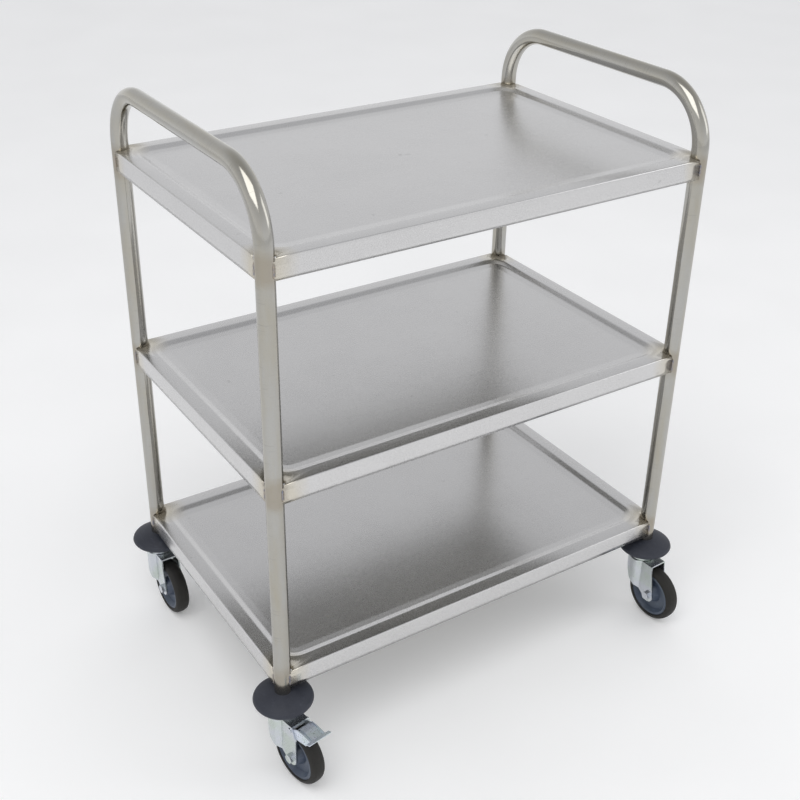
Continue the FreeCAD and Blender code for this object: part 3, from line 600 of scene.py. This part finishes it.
def dress(node, material, bevel=0.0):
    """Gives a CAD node its material, smooth shading and softly broken edges."""
    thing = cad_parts[node]
    thing.data.materials.clear()
    thing.data.materials.append(material)
    thing.data.shade_smooth()
    thing.data.set_sharp_from_angle(angle=math.radians(32))
    if bevel:
        soften = thing.modifiers.new("edges", "BEVEL")
        soften.width = bevel
        soften.segments = 2
        soften.limit_method = "ANGLE"
        soften.angle_limit = math.radians(40)
        soften.harden_normals = True
    return thing


# --- Camera, lights and floor ----------------------------------------------------------------


def make_camera():
    data = bpy.data.cameras.new("camera")
    thing = bpy.data.objects.new("camera", data)
    bpy.context.scene.collection.objects.link(thing)
    bpy.context.scene.camera = thing
    turn, tilt, roll = CAMERA_TURN, CAMERA_TILT, CAMERA_ROLL
    back = Vector((math.sin(turn) * math.cos(tilt), -math.cos(turn) * math.cos(tilt), math.sin(tilt)))
    right = Vector((math.cos(turn), math.sin(turn), 0))
    up = back.cross(right)
    rolled_right = right * math.cos(roll) + up * math.sin(roll)
    rolled_up = up * math.cos(roll) - right * math.sin(roll)
    axes = Matrix((rolled_right, rolled_up, back)).transposed()
    thing.matrix_world = Matrix.Translation(CAMERA_PLACE) @ axes.to_4x4()
    data.lens = CAMERA_LENS
    data.sensor_width = CAMERA_SENSOR
    data.shift_x, data.shift_y = CAMERA_SHIFT
    data.clip_start = 0.01
    data.clip_end = 50


def make_floor():
    """A seamless pale floor, faintly self-lit as paper is under flat light."""
    n = Nodes("studio_floor")
    tone = n.ramp(n.noise(n.coordinates("Object"), 3.0, 2.0, 0.5), 0.3, 0.7, 0.0, 1.0)
    paper = n.mix(tone, rgb(0.93, 0.93, 0.93), rgb(0.96, 0.96, 0.96))
    n.set(Base_Color=paper, Roughness=0.9)
    n.set(Emission_Color=rgb(1.0, 1.0, 1.0), Emission_Strength=FLOOR_GLOW)
    around = ((-1, -1), (1, -1), (1, 1), (-1, 1))
    corners = [(FLOOR_HALF * side_x, FLOOR_HALF * side_y, 0) for side_x, side_y in around]
    floor = new_object("studio_floor", corners, [(0, 1, 2, 3)], n.material)


def area_light(name, place, target, width, height, power):
    data = bpy.data.lights.new(name, "AREA")
    data.shape = "RECTANGLE"
    data.size = width
    data.size_y = height
    data.energy = power
    thing = bpy.data.objects.new(name, data)
    bpy.context.scene.collection.objects.link(thing)
    thing.location = place
    aim = Vector(target) - Vector(place)
    thing.rotation_euler = aim.to_track_quat("-Z", "Y").to_euler()
    return thing


def make_world():
    """Plain soft light all round, the same for every ray, half as bright overhead."""
    world = bpy.data.worlds.new("studio")
    bpy.context.scene.world = world
    n = WorldNodes(world)
    height = n.parts(n.coordinates("Generated"))[2]
    soft = n.mix(n.ramp(height, 0.0, 1.0), rgb(0.96, 0.965, 0.975), rgb(0.50, 0.505, 0.52))
    n.plug(soft, n.tree.nodes["Background"].inputs["Color"])


def make_studio():
    make_camera()
    make_floor()
    make_world()
    middle = (0, 0, 0.5)
    area_light("key", place=(-1.2, -1.0, 3.2), target=middle, width=2.4, height=2.4, power=34)
    area_light("fill", place=(2.6, -1.8, 2.0), target=middle, width=1.5, height=2.0, power=10)
    bpy.context.scene.view_settings.view_transform = "Standard"


# --- Making everything -----------------------------------------------------------------------

make_studio()

SHEET = stainless_sheet("stainless_sheet", (0.665, 0.66, 0.66), 0.26)
# A darker, rougher copy of the sheet for undersides: the roughness is a duller finish, the halved tint is
# painted shade.
SHEET_BACK_SHADED = stainless_sheet("stainless_sheet_back_dull_painted_shade", (0.34, 0.335, 0.315), 0.46)
TUBE = stainless_tube("stainless_tube", (0.44, 0.435, 0.415), 0.13)
ZINC = zinc_plate("zinc_plate", (0.62, 0.645, 0.69), 0.26)
PEDAL = zinc_plate("zinc_pedal", (0.66, 0.71, 0.81), 0.28, 0.55)
BUFFER = moulded("buffer_rubber", (0.017, 0.020, 0.032), (0.030, 0.034, 0.048), 0.52)
HUB = moulded("hub_plastic", (0.058, 0.076, 0.118), (0.080, 0.102, 0.132), 0.36)
TYRE = moulded("tyre_rubber", (0.006, 0.005, 0.004), (0.013, 0.012, 0.009), 0.62)
PLUG = moulded("plug_plastic", (0.03, 0.03, 0.032), (0.045, 0.045, 0.048), 0.5)
BALLS = zinc_plate("ball_steel", (0.72, 0.72, 0.74), 0.12)
WELD = weld_metal("weld_metal")

for side, x in (("left", -LEG_X), ("right", LEG_X)):
    tube = make_end_frame(f"tube_{side}", x, TUBE)
    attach(tube, "root")
    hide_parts(f"end_frame_{side}")

for shelf in SHELF_NAMES:
    tray = make_shelf(f"{shelf}_tray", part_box(f"{shelf}_shelf")[1].z, SHEET, SHEET_BACK_SHADED)
    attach(tray, "root")
    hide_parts(f"{shelf}_shelf")
    # The stiffener under the tray takes the darker underside sheet, whose darker tint is painted shade.
    dress(f"{shelf}_stiffener", SHEET_BACK_SHADED, 0.0003)
    welds = make_welds(f"{shelf}_welds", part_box(f"{shelf}_shelf")[1].z, WELD)
    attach(welds, "root")

for corner in CORNERS:
    dress(f"buffer_{corner}", BUFFER)
    dress(f"leg_plug_{corner}", PLUG)
    dress(f"stem_{corner}", ZINC)
    dress(f"upper_race_{corner}", ZINC)
    dress(f"fork_{corner}", ZINC, 0.0004)
    dress(f"axle_bolt_{corner}", ZINC, 0.0003)
    dress(f"axle_nut_{corner}", ZINC, 0.0003)
    dress(f"bearing_sleeve_{corner}", BALLS)
    dress(f"wheel_hub_{corner}", HUB)
    dress(f"tyre_{corner}", TYRE)
for corner in BRAKED:
    dress(f"brake_pedal_{corner}", PEDAL, 0.0003)
    dress(f"brake_pin_{corner}", ZINC, 0.0003)
    dress(f"brake_shoe_{corner}", TYRE, 0.0004)
dress("swivel_balls", BALLS)
